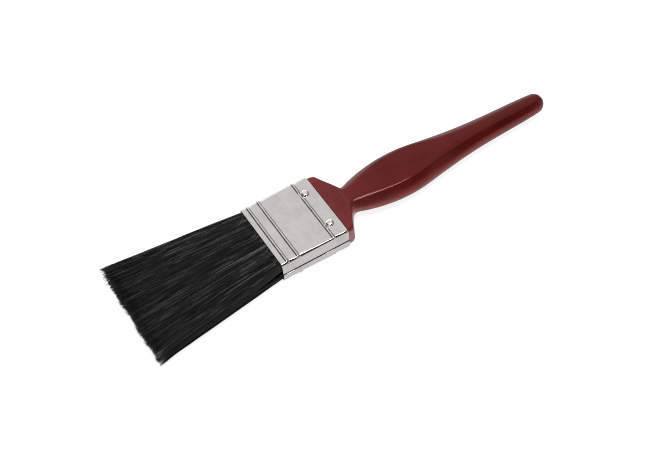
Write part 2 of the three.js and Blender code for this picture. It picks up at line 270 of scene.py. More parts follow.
def lacquer():
    """Deep maroon lacquer over close-grained wood: faint grain, painted shade on the rounded flanks and painted light
    on the upright and downward faces, a little orange peel, dust nibs and handling marks."""
    m, nt, p = material("maroon_lacquer")
    grain = noise(nt, stretched(nt, (30, 520, 520)), 1.0, 6, 0.6, 0.4)
    pool = noise(nt, stretched(nt, (60, 110, 110)), 1.0, 4, 0.55)
    base = ramp(nt, pool, [(0.3, (0.104, 0.0068, 0.0050)), (0.52, (0.126, 0.0088, 0.0064)), (0.75, (0.148, 0.0112, 0.0084))])
    lines = ramp(nt, grain, [(0.36, (0.88, 0.84, 0.84)), (0.5, (1, 1, 1)), (0.68, (1.07, 1.10, 1.08))])
    col = blend_colour(nt, 0.7, base, lines, "MULTIPLY")
    tc = nt.nodes.new("ShaderNodeTexCoord")
    sep = nt.nodes.new("ShaderNodeSeparateXYZ")
    nt.links.new(tc.outputs["Normal"], sep.inputs["Vector"])
    # painted light and shade by which way the surface faces: upright and downward faces lighter and pinker, the flanks
    # darkest, the top in between
    up = maths(nt, "ABSOLUTE", sep.outputs["Z"], 0.0)
    painted_light_by_facing = ramp(nt, up, [(0.0, (1.5, 4.6, 5.4)), (0.25, (1.3, 3.0, 3.4)), (0.48, (0.62, 1.0, 1.1)), (0.80, (0.50, 0.75, 0.82)), (0.95, (0.60, 0.62, 0.62)), (1.0, (0.61, 0.62, 0.62))])
    col = blend_colour(nt, 1.0, col, painted_light_by_facing, "MULTIPLY")
    # colour made lighter and paler towards the head and darker towards the tail
    place = nt.nodes.new("ShaderNodeSeparateXYZ")
    nt.links.new(tc.outputs["Object"], place.inputs["Vector"])
    fade = ramp(nt, span(nt, place.outputs["X"], -0.012, 0.112), [(0.0, (2.7, 6.5, 8.0)), (0.13, (2.1, 3.4, 4.2)), (0.3, (1.65, 1.5, 1.6)), (0.5, (1.58, 1.4, 1.4)), (1.0, (1.35, 1.2, 1.2))])
    col = blend_colour(nt, 1.0, col, fade, "MULTIPLY")
    # dust nibs set in the lacquer
    vor = node(nt, "ShaderNodeTexVoronoi", Scale=700.0)
    nt.links.new(stretched(nt, (1, 1, 1)), vor.inputs["Vector"])
    speck = span(nt, vor.outputs["Distance"], 0.03, 0.07, 1.0, 0.0)
    col = blend_colour(nt, maths(nt, "MULTIPLY", speck, 0.3), col, (0.30, 0.06, 0.06))
    nt.links.new(col, p.inputs["Base Color"])
    smear = noise(nt, stretched(nt, (90, 260, 260)), 1.0, 5, 0.6)
    nt.links.new(span(nt, smear, 0.3, 0.75, 0.07, 0.17), p.inputs["Roughness"])
    p.inputs["Coat Weight"].default_value = 0.12
    p.inputs["Coat Roughness"].default_value = 0.035
    p.inputs["Coat IOR"].default_value = 1.5
    p.inputs["IOR"].default_value = 1.48
    p.inputs["Specular IOR Level"].default_value = 0.30
    p.inputs["Specular Tint"].default_value = (1.0, 0.42, 0.45, 1.0)
    peel = noise(nt, stretched(nt, (1, 1, 1)), 420.0, 2, 0.4)
    n1 = bump(nt, peel, 0.00004, 0.35)
    n2 = bump(nt, grain, 0.00002, 0.5, n1)
    nt.links.new(n2, p.inputs["Normal"])
    return m


def nickel():
    """Bright nickel plate on thin sheet: rolled streaks, soft smudges, hairline scratches."""
    m, nt, p = material("nickel_plate")
    p.inputs["Metallic"].default_value = 1.0
    smudge = noise(nt, stretched(nt, (150, 150, 150)), 1.0, 5, 0.6, 0.6)
    rolled = noise(nt, stretched(nt, (2200, 70, 70)), 1.0, 3, 0.5)
    tone = ramp(nt, smudge, [(0.3, (0.675, 0.638, 0.628)), (0.5, (0.742, 0.706, 0.692)), (0.72, (0.79, 0.757, 0.745))])
    streak = ramp(nt, rolled, [(0.3, (0.95, 0.95, 0.95)), (0.7, (1.03, 1.03, 1.03))])
    nt.links.new(blend_colour(nt, 1.0, tone, streak, "MULTIPLY"), p.inputs["Base Color"])
    r = maths(nt, "ADD", span(nt, smudge, 0.3, 0.75, 0.055, 0.11), span(nt, rolled, 0.3, 0.7, -0.01, 0.02))
    nt.links.new(r, p.inputs["Roughness"])
    scratch = noise(nt, stretched(nt, (260, 5200, 5200)), 1.0, 2, 0.5, 1.2)
    fine = span(nt, scratch, 0.62, 0.7, 0.0, 1.0)
    n1 = bump(nt, rolled, 0.000012, 0.6)
    n2 = bump(nt, fine, 0.000012, 0.5, n1)
    dapple = noise(nt, stretched(nt, (300, 300, 300)), 1.0, 2, 0.5)
    n3 = bump(nt, dapple, 0.00005, 0.5, n2)
    grit = noise(nt, stretched(nt, (1900, 1500, 1500)), 1.0, 3, 0.6)
    nt.links.new(bump(nt, grit, 0.00002, 0.5, n3), p.inputs["Normal"])
    return m


def painted_seam_shade():
    """Painted shade for the lap of the sheet: near-black and rough, standing in for the shadow in its gap."""
    m, nt, p = material("seam_painted_shade")
    n = noise(nt, stretched(nt, (900, 900, 900)), 1.0, 4, 0.6)
    nt.links.new(ramp(nt, n, [(0.3, (0.010, 0.006, 0.005)), (0.7, (0.045, 0.028, 0.022))]), p.inputs["Base Color"])
    nt.links.new(span(nt, n, 0.3, 0.7, 0.5, 0.8), p.inputs["Roughness"])
    nt.links.new(bump(nt, n, 0.00004, 0.5), p.inputs["Normal"])
    return m


def nail_metal():
    """Drawn steel pins with a thin yellowed nickel flash, struck by a hammer."""
    m, nt, p = material("nail_metal")
    p.inputs["Metallic"].default_value = 1.0
    age = noise(nt, stretched(nt, (900, 900, 900)), 1.0, 4, 0.6)
    nt.links.new(ramp(nt, age, [(0.3, (0.62, 0.57, 0.47)), (0.5, (0.84, 0.81, 0.74)), (0.75, (0.94, 0.93, 0.90))]), p.inputs["Base Color"])
    nt.links.new(span(nt, age, 0.3, 0.75, 0.20, 0.08), p.inputs["Roughness"])
    hammer = noise(nt, stretched(nt, (1300, 1300, 1300)), 1.0, 2, 0.5)
    nt.links.new(bump(nt, hammer, 0.00004, 0.5), p.inputs["Normal"])
    return m


def filament(name, dark, mid, tip, rough, shine, worn=-0.108):
    """One shade of filament: fine streaks along its length, paler towards the worn tip."""
    m, nt, p = material(name)
    tc = nt.nodes.new("ShaderNodeTexCoord")
    sep = nt.nodes.new("ShaderNodeSeparateXYZ")
    nt.links.new(tc.outputs["Object"], sep.inputs["Vector"])
    streak = noise(nt, stretched(nt, (110, 2600, 2600)), 1.0, 3, 0.65)
    body = ramp(nt, streak, [(0.36, dark), (0.64, mid)])
    deep = ramp(nt, span(nt, sep.outputs["X"], -0.056, -0.106), [(0.0, (1.0, 1.0, 1.0)), (1.0, (0.66, 0.63, 0.64))])
    end = span(nt, sep.outputs["X"], worn, worn - 0.0045, 0.0, 1.0, "SMOOTHSTEP")
    nt.links.new(blend_colour(nt, end, blend_colour(nt, 1.0, body, deep, "MULTIPLY"), tip), p.inputs["Base Color"])
    nt.links.new(span(nt, streak, 0.3, 0.7, rough - 0.06, rough + 0.08), p.inputs["Roughness"])
    p.inputs["Specular IOR Level"].default_value = shine
    p.inputs["Sheen Weight"].default_value = 0.05
    p.inputs["Sheen Roughness"].default_value = 0.4
    nt.links.new(bump(nt, streak, 0.00003, 0.4), p.inputs["Normal"])
    return m


def resin():
    m, nt, p = material("setting_resin")
    cloud = noise(nt, stretched(nt, (260, 260, 260)), 1.0, 5, 0.6, 0.8)
    nt.links.new(ramp(nt, cloud, [(0.3, (0.12, 0.06, 0.02)), (0.7, (0.34, 0.20, 0.07))]), p.inputs["Base Color"])
    nt.links.new(span(nt, cloud, 0.3, 0.7, 0.2, 0.45), p.inputs["Roughness"])
    nt.links.new(bump(nt, cloud, 0.0001, 0.5), p.inputs["Normal"])
    return m


def plug_wood():
    m, nt, p = material("plug_wood")
    grain = noise(nt, stretched(nt, (420, 30, 420)), 1.0, 6, 0.6, 0.8)
    nt.links.new(ramp(nt, grain, [(0.3, (0.30, 0.17, 0.07)), (0.7, (0.52, 0.34, 0.17))]), p.inputs["Base Color"])
    nt.links.new(span(nt, grain, 0.3, 0.7, 0.6, 0.85), p.inputs["Roughness"])
    nt.links.new(bump(nt, grain, 0.00008, 0.7), p.inputs["Normal"])
    return m


# ------------------------------------------------------------------ handle
HALF_W = curve([
    (35.6, 18.9), (37.4, 18.75), (38.4, 18.2), (39.1, 16.95), (40.5, 14.3), (42.0, 11.7), (43.4, 9.4), (44.6, 7.95), (45.6, 7.45),
    (46.8, 7.5), (49, 8.3), (51, 9.1), (53, 9.75), (57, 10.8), (61, 11.5), (65, 12.0), (69, 12.3), (73, 12.4),
    (77, 12.2), (81, 11.75), (85, 11.15), (89, 10.5), (93, 9.9), (97, 9.35), (101, 8.75), (105, 8.15), (109, 7.6), (113, 7.15),
    (117, 6.8), (121, 6.53), (125, 6.3), (129, 6.1), (137, 5.75), (145, 5.35), (149, 5.05), (151, 4.7)])
HALF_T = curve([
    (35.6, 5.42), (40, 5.42), (42.6, 5.34), (43.8, 5.05), (44.9, 4.72), (46.0, 4.62), (47.6, 4.8), (50.5, 5.15), (60, 5.78), (68, 6.1), (75, 6.2), (82, 6.2),
    (92, 6.1), (102, 5.95), (110, 5.8), (120, 5.6), (130, 5.35), (140, 5.1), (150, 4.75)])
FLAT = curve([
    (35.6, 17.1), (37.4, 16.9), (38.4, 16.3), (39.1, 15.0), (40.5, 12.3), (42.0, 9.6), (43.4, 7.1), (44.6, 5.0), (45.6, 3.2),
    (46.8, 2.4), (48.5, 2.4), (52, 3.5), (61, 6.4), (69, 8.0), (78, 8.3), (85, 7.5), (92, 5.6), (99, 3.3), (106, 1.7), (114, 0.9), (125, 0.6), (150, 0.5)])
SIDE_FLAT = curve([(35.6, 3.6), (36.6, 3.3), (37.6, 2.7), (38.6, 2.0), (39.6, 1.4), (41, 0.9), (43.4, 0.5), (45.6, 0.2), (47.5, 0.08), (150, 0.08)])
EDGE_M = curve([(35.6, 2), (43, 2), (47, 1.8), (54, 1.5), (84, 1.45), (100, 1.75), (112, 2), (150, 2)])
EDGE_K = curve([(35.6, 2), (43, 2), (47, 1.9), (56, 1.75), (88, 1.75), (104, 1.9), (114, 2), (150, 2)])
CROWN = curve([(35.6, 0), (44, 0.01), (52, 0.04), (90, 0.05), (150, 0.05)])
TAIL_ROUND = 5.2
N_TOP, N_ARC, N_SIDE = 9, 16, 3


def full_ring(x, quarter):
    q = quarter
    up = [(x, y, z) for y, z in q]
    low = [(x, y, -z) for y, z in q[-2:0:-1]]
    bottom = [(x, 0.0, -q[0][1])]
    low2 = [(x, -y, -z) for y, z in q[1:]]
    up2 = [(x, -y, z) for y, z in q[-2:0:-1]]
    return up + low + bottom + low2 + up2


def handle_ring(x):
    start = TAIL_END - TAIL_ROUND
    k = math.sqrt(max(1 - ((x - start) / TAIL_ROUND) ** 2, 0.0004)) if x > start else 1.0
    xc = min(x, start)
    a, b, f = float(HALF_W(xc)) * k, float(HALF_T(xc)) * k, float(FLAT(xc)) * k
    v, m, q, c = float(SIDE_FLAT(x)) * k, float(EDGE_M(x)), float(EDGE_K(x)), float(CROWN(x)) * min((f / 8) ** 2, 1.0)
    pts = [(f * t, b * (1 - c * t * t)) for t in np.linspace(0, 1, N_TOP)[:-1]]
    zf = b * (1 - c)
    for th in np.linspace(0, math.pi / 2, N_ARC):
        pts.append((f + (a - f) * math.sin(th) ** (2 / m), v + (zf - v) * max(math.cos(th), 0.0) ** (2 / q)))
    for t in np.linspace(v, 0, N_SIDE + 1)[1:]:
        pts.append((a, t))
    return full_ring(x, pts)


def tenon_ring(x, w, t, r):
    pts = [((w - r) * u, t) for u in np.linspace(0, 1, N_TOP)[:-1]]
    for th in np.linspace(0, math.pi / 2, N_ARC):
        pts.append((w - r + r * math.sin(th), t - r + r * math.cos(th)))
    for z in np.linspace(t - r, 0, N_SIDE + 1)[1:]:
        pts.append((w, z))
    return full_ring(x, pts)


def build_handle():
    w, t = 18.7, 5.15
    rings = [tenon_ring(14.5, w - 1.0, t - 0.7, 1.2), tenon_ring(15.2, w - 0.5, t - 0.3, 1.4), tenon_ring(16.1, w, t, 1.6)]
    rings += [tenon_ring(x, w, t, 1.6) for x in (19, 23, 26, 28, 29, 30, 31, 32.5, 34, 34.7, 34.95)]
    # the head swells just behind the ferrule's edge
    rings += [tenon_ring(35.05, 18.78, 5.26, 1.65), tenon_ring(35.2, 18.86, 5.37, 1.7)]
    xs = np.concatenate([
        np.arange(35.45, 48, 0.3), np.arange(48, 60, 0.75), np.arange(60, 110, 1.25), np.arange(110, 150.2, 2.0),
        150.3 + TAIL_ROUND * np.sin(np.linspace(0, math.pi / 2, 16)),
    ])
    rings += [handle_ring(min(x, TAIL_END - 0.002)) for x in xs]
    verts, faces = loft(rings)
    ob = new_object("handle_wood", row(verts), faces, sharp=50)
    deep = 8.4 - FER_T + 0.4
    drill_holes(ob, 0.95, [(x, y, -deep, 8) if s > 0 else (x, y, -8, deep) for x, y, s in NAILS.values()])
    return ob


# ------------------------------------------------------------------ ferrule
SHEET, LAP, LAP_Z = 0.4, 0.30, -0.9


def bead_height(x):
    h = np.zeros_like(x)
    for c in BEADS:
        t = np.abs(x - c) / 1.05
        h += np.where(t < 1, 0.45 * (0.5 * (1 + np.cos(np.pi * np.clip(t, 0, 1)))) ** 0.85, 0)
    return h


# heights down the near narrow side: plain sheet, the open gap of the lap, its rounded edge, the outer layer
GAP_TOP, GAP_LOW = LAP_Z + 0.52, LAP_Z + 0.06
SIDE_Z = (
    3.4, 2.9, 2.4, 1.9, 1.4, 0.9, 0.5, 0.1, -0.2, -0.35, GAP_TOP + 0.03, GAP_TOP, GAP_TOP - 0.03, -0.64, GAP_LOW + 0.02, GAP_LOW,
    LAP_Z + 0.045, LAP_Z + 0.02, LAP_Z - 0.02, LAP_Z - 0.08, LAP_Z - 0.16, -1.2, -1.4, -1.7, -2.0, -2.3, -2.6, -2.9, -3.2, -3.5,
)


def sleeve_section():
    """Points round the sleeve with their outward normals: far side, top, near side, underside."""
    w, t, r = FER_W, FER_T, FER_R
    pts = []

    def arc(cy, cz, a0):
        for a in np.linspace(a0, a0 + math.pi / 2, 13):
            pts.append((cy + r * math.cos(a), cz + r * math.sin(a), math.cos(a), math.sin(a)))

    for z in np.linspace(-(t - r), t - r, 11)[1:-1]:
        pts.append((w, z, 1, 0))
    arc(w - r, t - r, 0)
    for y in np.linspace(w - r, -(w - r), 66)[1:-1]:
        pts.append((y, t, 0, 1))
    arc(-(w - r), t - r, math.pi / 2)
    for z in SIDE_Z:
        pts.append((-w, z, -1, 0))
    arc(-(w - r), -(t - r), math.pi)
    for y in np.linspace(-(w - r), w - r, 66)[1:-1]:
        pts.append((y, -t, 0, -1))
    arc(w - r, -(t - r), 1.5 * math.pi)
    return np.array(pts)


def build_ferrule():
    sec = sleeve_section()
    y, z, ny, nz = sec.T
    x_out = np.concatenate([[0.0, 0.04, 0.12, 0.26], np.arange(0.6, 2.0, 0.35)])
    for c in BEADS:
        x_out = np.concatenate([x_out, c + np.linspace(-1.1, 1.1, 21)])
    x_out = np.concatenate([x_out, np.arange(4.6, 7.6, 0.5), np.arange(10.2, 26.2, 0.55), np.arange(28.6, 34.3, 0.3), [34.5, 34.66, 34.76, 34.8]])
    xs = np.unique(np.round(x_out, 3))
    n1, n2 = wave_noise(11), wave_noise(12, shortest=2.5, longest=9)
    X = xs[:, None] * np.ones_like(y)[None, :]
    Y, Z = np.broadcast_to(y, X.shape), np.broadcast_to(z, X.shape)
    NY, NZ = np.broadcast_to(ny, X.shape), np.broadcast_to(nz, X.shape)
    grow = bead_height(X)
    grow = grow * (1 + 0.07 * n2(Y * 1.3 + 3, Z * 2 + X))
    # they die away round the near narrow side, where the lap is pressed flat
    fade = np.where(NY < -0.999, np.interp(Z, [1.7, 3.6], [0.0, 0.5]), np.where(NZ > 0, 1 - 0.5 * np.abs(NY), np.clip(1.7 * np.abs(NZ) - 0.7, 0, 1)))
    grow = np.where(NY < -0.001, grow * fade, grow)
    dent = np.zeros_like(X)
    for nx_, ny_, side in NAILS.values():
        d = np.hypot(X - nx_, Y - ny_)
        on = np.sign(Z) == side
        grow = np.where(on & (np.abs(NZ) > 0.5), grow * smoothstep((d - 1.7) / 1.5), grow)
        dent = np.where(on & (np.abs(NZ) > 0.5), dent - 0.10 * np.exp(-((d / 2.9) ** 2)), dent)
    # flats are never quite flat: the sheet sinks a little between the beads, and waves
    flat = np.abs(NZ) > 0.99
    belly = -0.05 * np.cos(np.clip(Y / (FER_W - FER_R), -1, 1) * math.pi / 2) ** 2
    dent = dent + np.where(flat, belly * smoothstep((X - 10) / 4) * smoothstep((26 - X) / 4), 0)
    dent = dent + 0.016 * n1(X + 60 * (NZ < 0), Y + Z) * np.where(flat, 1.0, 0.4)
    # lapped layer on the near narrow side: an open gap (given painted shade further down), a rounded free edge facing
    # up, then the outer layer
    edge = np.interp(Z[0], [-3.7, -2.4, LAP_Z - 0.16, LAP_Z - 0.02, LAP_Z + 0.045, GAP_LOW], [0, 0.8, 1.0, 0.93, 0.55, 0.0])
    gap = np.interp(Z[0], [GAP_LOW, GAP_LOW + 0.02, GAP_TOP - 0.03, GAP_TOP], [0.0, 0.55, 0.55, 0.0])
    near = NY[0] < -0.999
    lap = np.where(near, LAP * edge - 0.30 * gap, 0.0)[None, :] * (1 + 0.12 * np.sin(X * 0.31 + 0.5) * np.where(near, 1, 0)[None, :])
    # lips rounded over half the sheet
    lip = np.minimum(X - 0, FER_L - X)
    rounding = SHEET * 0.5 * (1 - np.sqrt(np.clip(1 - (1 - np.clip(lip / 0.2, 0, 1)) ** 2, 0, 1)))
    # the sheet is bent tighter away from the beads, so the long edges are rounder beside them
    bend = 1.25 + 1.1 * np.exp(-(X - 9.9) / 8.0) * (X > 9.9) + 0.9 * np.exp(-np.abs(X - 28.4) / 2.2) * (X > 27.3)
    bend = np.where(X < 8.85, 1.6 + 0.7 * np.exp(-np.abs(X - 4.2) / 1.3), bend)
    bend = np.clip(bend + 0.7 * np.exp(-(FER_L - X) / 0.7), 1.0, 2.25)
    tighter = FER_R - bend
    corner = (np.abs(NY) > 0.001) & (np.abs(NY) < 0.999)
    flat_end = (np.abs(NY) <= 0.001) | (np.abs(NY) >= 0.999)
    Y = np.where(corner, Y + np.sign(NY) * tighter * (1 - np.abs(NY)), Y)
    Z = np.where(corner, Z + np.sign(NZ) * tighter * (1 - np.abs(NZ)), Z)
    out = grow + dent + lap - rounding
    inn = grow + dent - SHEET + rounding + np.minimum(lap, 0) * 0.25
    def place(o):
        return np.stack([X, Y + NY * o, Z + NZ * o], -1)
    outer, inner = place(out), place(inn)
    n, m = X.shape
    verts = np.vstack([outer.reshape(-1, 3), inner.reshape(-1, 3)])
    faces, k = [], n * m
    for i in range(n - 1):
        for j in range(m):
            a, b = i * m + j, i * m + (j + 1) % m
            faces.append((a, a + m, b + m, b))
            faces.append((k + a, k + b, k + b + m, k + a + m))
    for j in range(m):
        b = (j + 1) % m
        faces.append((j, b, k + b, k + j))
        e = (n - 1) * m
        faces.append((e + j, k + e + j, k + e + b, e + b))
    # the faces inside the lap's gap get the second material, painted shade standing in for the gap's shadow
    in_gap = (SIDE_Z.index(GAP_TOP), SIDE_Z.index(LAP_Z + 0.02))
    first = int(np.argmax((np.abs(sec[:, 0] + FER_W) < 1e-9) & (np.abs(sec[:, 1] - SIDE_Z[0]) < 1e-9)))
    painted_shade_cols = set(range(first + in_gap[0], first + in_gap[1]))
    ob = new_object("ferrule_sleeve", row(verts), faces, sharp=38)
    ob.data.materials.append(NICKEL)
    ob.data.materials.append(painted_seam_shade())
    for poly, (i, j) in zip(ob.data.polygons, ((i, j) for i in range(n - 1) for j in range(m) for _ in (0, 1))):
        if j in painted_shade_cols and poly.index % 2 == 0:
            poly.material_index = 1
    drill_holes(ob, 0.95, [(x, yy, 4.6, 7.5) if s > 0 else (x, yy, -7.5, -4.6) for x, yy, s in NAILS.values()])
    return ob


# ------------------------------------------------------------------ nails
def build_nail(name, x, y, side, seed):
    rng = np.random.default_rng(seed)
    length, rs, rh, hh = 8.4, 0.65, 1.93, 1.10
    prof = [(0, -length), (0.12, -length + 0.25), (rs * 0.62, -length + 1.5), (rs, -length + 2.4), (rs, -4), (rs, -2), (rs, -0.25), (rs + 0.1, -0.02)]
    prof += [(1.2, 0.03), (rh - 0.16, 0.04), (rh - 0.05, 0.06), (rh, 0.12), (rh - 0.01, 0.2)]
    for a in np.linspace(0.10, math.pi / 2, 17)[1:]:
        prof.append(((rh - 0.01) * math.cos(a) if a < math.pi / 2 - 1e-6 else 0.0, 0.12 + (hh - 0.12) * math.sin(a)))
    seg = 40
    verts, faces = [], []
    ph = rng.uniform(0, 6.28, 3)
    for i, (r, z) in enumerate(prof[1:-1]):
        for j in range(seg):
            a = 2 * math.pi * j / seg
            rr = r * (1 + (0.02 * math.sin(2 * a + ph[0]) + 0.012 * math.sin(3 * a + ph[1])) * (1 if z > 0.04 else 0))
            flat = 0.035 * math.cos(a - ph[2]) * (r / rh) if z > 0.3 else 0
            verts.append((rr * math.cos(a), rr * math.sin(a), z + flat))
    rings = len(prof) - 2
    for i in range(rings - 1):
        for j in range(seg):
            a, b = i * seg + j, i * seg + (j + 1) % seg
            faces.append((a, b, b + seg, a + seg))
    verts.append((0, 0, prof[0][1]))
    verts.append((0, 0, prof[-1][1]))
    lo, hi = len(verts) - 2, len(verts) - 1
    for j in range(seg):
        faces.append((lo, (j + 1) % seg, j))
        faces.append((hi, (rings - 1) * seg + j, (rings - 1) * seg + (j + 1) % seg))
    v = np.array(verts)
    tilt = rng.uniform(-0.025, 0.025, 2)
    v[:, 0] += tilt[0] * v[:, 2]
    v[:, 1] += tilt[1] * v[:, 2]
    if side < 0:
        v[:, 1] *= -1
        v[:, 2] *= -1
    v += np.array([x, y, side * (FER_T + 0.0)])
    return new_object(name, row(v), faces, sharp=45)


# ------------------------------------------------------------------ filling
TUFTS = 5
ROOT_BACK = 10.2
MOUTH_W, MOUTH_T = 18.92, 5.36
TIP_FAR, TIP_NEAR, TIP_T = 27.3, 28.5, 5.62
CORNER = 2.3
SAG = 0.85


def fan_w(s, near):
    """Half width of the filling at s from the mouth. The near side flares a little more than the far one."""
    tip = np.where(near, TIP_NEAR, TIP_FAR)
    return MOUTH_W + (tip - MOUTH_W) * np.clip(s / FREE, 0, 1) ** 0.97


def fan_t(s):
    return MOUTH_T + 0.2 * (1 - np.exp(-np.maximum(s, 0) / 4.0)) + (TIP_T - MOUTH_T - 0.2) * np.clip(s / FREE, 0, 1)


def fan_gap(s):
    """Half the gap between the banks: the plug holds them apart, and they close beyond it."""
    return 1.38 + (0.02 - 1.38) * smoothstep(s / 16.0)


KNOTS = np.array([-1.0, -0.35, 0.0, 0.05, 0.13, 0.23, 0.34, 0.45, 0.56, 0.67, 0.78, 0.88, 0.955, 1.0])


def strands(side, count, bundles, rng, layout):
    """Filaments of one bank, in millimetres: centres (n, rings, 3), radii (n, rings), root position across (n), shade (n).
    count of them fill the bank, and bundles of three lie loosely over them, going in and out of the surface."""
    loose = np.concatenate([np.zeros(count, bool), np.ones(bundles * 3, bool)])
    n = len(loose)
    of_bundle = np.repeat(np.arange(bundles), 3)

    def pick(fill, over):
        """One value for each filament: its own in the body of the bank, its bundle's in the loose ones."""
        return np.concatenate([fill, over[of_bundle]])

    u = pick(rng.uniform(-1, 1, count), rng.uniform(-1, 1, bundles)) + np.where(loose, rng.normal(0, 0.0035, n), 0)
    u = np.clip(u, -1, 1)
    v = pick(rng.uniform(0, 1, count) ** 0.72, rng.uniform(0.95, 1.02, bundles))
    # locks: filaments near each other share a direction, a length and a shade
    nu, nv = 46, 5
    cu = np.floor((u + 1) / 2 * nu + np.where(loose, 0, rng.normal(0, 0.3, n))).clip(0, nu - 1).astype(int)
    cv = np.floor(v * nv + rng.normal(0, 0.25, n)).clip(0, nv - 1).astype(int)
    lock = cu * nv + cv
    # locks lie one over another right through the thickness, in both banks
    lock_u = ((np.arange(nu) + 0.5) / nu * 2 - 1 + layout.normal(0, 0.006, nu))[:, None] + rng.normal(0, 0.0035, (nu, nv))
    lock_v = ((np.arange(nv) + 0.5) / nv)[None, :] + rng.normal(0, 0.05, (nu, nv))
    lock_draw = rng.uniform(0.25, 0.85, nu * nv)
    lock_short = (layout.uniform(0, 1.0, nu)[:, None] + np.abs(rng.normal(0, 0.35, (nu, nv)))).reshape(-1)
    lock_dy = (layout.normal(0, 0.30, nu)[:, None] + rng.normal(0, 0.12, (nu, nv))).reshape(-1)
    lock_dz = rng.normal(0, 0.17, nu * nv)
    lock_tone = rng.uniform(0, 1, nu * nv)
    off = np.abs(u - lock_u.reshape(-1)[lock]) * nu  # 0 in the middle of a lock, about 1 at its edge
    length = FREE - 0.1 - lock_short[lock] - 2.5 * np.clip(off, 0, 1.2) ** 1.2 - np.abs(rng.normal(0, 0.18, n))
    length -= 1.0 * np.clip(v, 0, 1) ** 2.2 * rng.uniform(0.25, 1.2, n)
    length = np.where(rng.uniform(0, 1, n) < 0.11, length - rng.uniform(2, 16, n), length)
    corner = smoothstep((np.abs(u) - 0.93) / 0.07)
    length -= corner * rng.uniform(0, 1.6, n)
    # a wisp at the near corner and a fray at the far one keep their full length
    wisp = u < -0.972
    gap = (u >= -0.972) & (u < -0.90)
    fray = (u > 0.92) & (rng.uniform(0, 1, n) < 0.30)
    full = FREE - 0.35 - rng.uniform(0, 2.8, n) ** 1.3
    length = np.where(fray, np.maximum(full, 60), length)
    length = np.where(wisp, np.maximum(full, 60) - 0.9, length)
    # each one's own wander
    dy = pick(rng.normal(0, 0.34, count), rng.normal(0, 1.15, bundles)) + lock_dy[lock]
    dz = rng.normal(0, 0.2, n) + lock_dz[lock]
    stray = rng.uniform(0, 1, n) < 0.02
    dy = np.where(stray, dy + rng.normal(0, 1.8, n), dy)
    bow = pick(rng.normal(0, 0.26, count), rng.normal(0, 0.5, bundles))
    wave = pick(rng.normal(0, 0.10, count), rng.normal(0, 0.16, bundles))
    turn = pick(rng.uniform(1.0, 2.2, count), rng.uniform(1.2, 3.0, bundles))
    phase = pick(rng.uniform(0, 6.28, count), rng.uniform(0, 6.28, bundles))
    dive = pick(np.zeros(count), rng.uniform(0.06, 0.16, bundles))
    dive_turn = pick(np.ones(count), rng.uniform(1.0, 3.2, bundles))
    dive_phase = pick(np.zeros(count), rng.uniform(0, 6.28, bundles))
    k = len(KNOTS)
    s = np.where(KNOTS[None, :] <= 0, KNOTS[None, :] * ROOT_BACK * 0.97, KNOTS[None, :] * length[:, None])
    f = np.clip(s / FREE, 0, 1)
    w, t, g = fan_w(s, (u < 0)[:, None]), fan_t(s), fan_gap(s)
    draw = lock_draw[lock][:, None] * smoothstep((f - 0.25) / 0.75)
    draw = np.where(loose[:, None], draw * 0.45, draw)
    uu = u[:, None] * (1 - draw) + lock_u.reshape(-1)[lock][:, None] * draw
    vv = v[:, None] * (1 - draw) + lock_v.reshape(-1)[lock][:, None] * draw
    vv = vv - dive[:, None] * (0.5 - 0.5 * np.cos(2 * np.pi * dive_turn[:, None] * f + dive_phase[:, None])) * np.minimum(f * 12, 1)
    y = uu * w + dy[:, None] * f**1.25 + bow[:, None] * np.sin(np.pi * f)
    y = y + wave[:, None] * np.sin(turn[:, None] * 2 * np.pi * f + phase[:, None]) * np.sqrt(f)
    splay = corner * rng.uniform(-0.3, 1.0, n) ** 3 * 1.6
    y = y + (np.sign(u) * splay)[:, None] * smoothstep((f - 0.72) / 0.28)
    y = np.clip(y, -w - 0.2 * f, w + 0.5 * f)
    r = CORNER
    over = np.clip(np.abs(y) - (w - r), 0, r)
    top = t - r + np.sqrt(np.maximum(r * r - over * over, 0.04))
    z = g + np.clip(vv, 0, 1.03) * (top - g)
    z = z + dz[:, None] * f**1.1 * (0.35 + 0.65 * np.clip(vv, 0, 1))
    z = np.maximum(z, 0.06) * side
    z = z - SAG * f**1.6  # the filling sags a little towards its tip
    z = np.clip(z, 0.14 - LOWEST, None)
    pts = np.stack([-s, y, z], -1)
    rad = (rng.uniform(0.095, 0.13, n) + np.where(loose, 0.012, 0))[:, None] * np.ones(k)[None, :]
    taper = np.interp(KNOTS, [0.0, 0.78, 0.9, 0.965, 1.0], [1.0, 0.9, 0.78, 0.6, 0.3])
    rad = rad * taper[None, :]
    # the wisp parts from the near corner, and the far corner frays
    part = smoothstep((f - 0.84) / 0.16)
    gather = np.interp(u, [-0.972, -0.90], [1.6, 0.3])[:, None] * part
    pts[:, :, 1] = np.where(wisp[:, None], np.clip(pts[:, :, 1] - 0.8 * part, -29.4, None), pts[:, :, 1])
    pts[:, :, 1] = np.where(gap[:, None], pts[:, :, 1] + gather, pts[:, :, 1])
    pts[:, :, 1] = np.where(fray[:, None], np.clip(pts[:, :, 1] + rng.uniform(0, 1.0, n)[:, None] * part, None, 28.05), pts[:, :, 1])
    fill_tone = 0.36 * lock_tone[lock] + 0.60 * rng.uniform(0, 1, n) + 0.1 * corner * rng.uniform(0, 1, n)
    over_tone = pick(np.zeros(count), rng.uniform(0.12, 1.0, bundles)) + rng.normal(0, 0.05, n)
    tone = np.where(loose, over_tone, fill_tone)
    frayed = (wisp & (rng.uniform(0, 1, n) < 0.5)) | (fray & (rng.uniform(0, 1, n) < 0.5))
    return pts, rad, u, np.where(frayed, 2.0, tone)


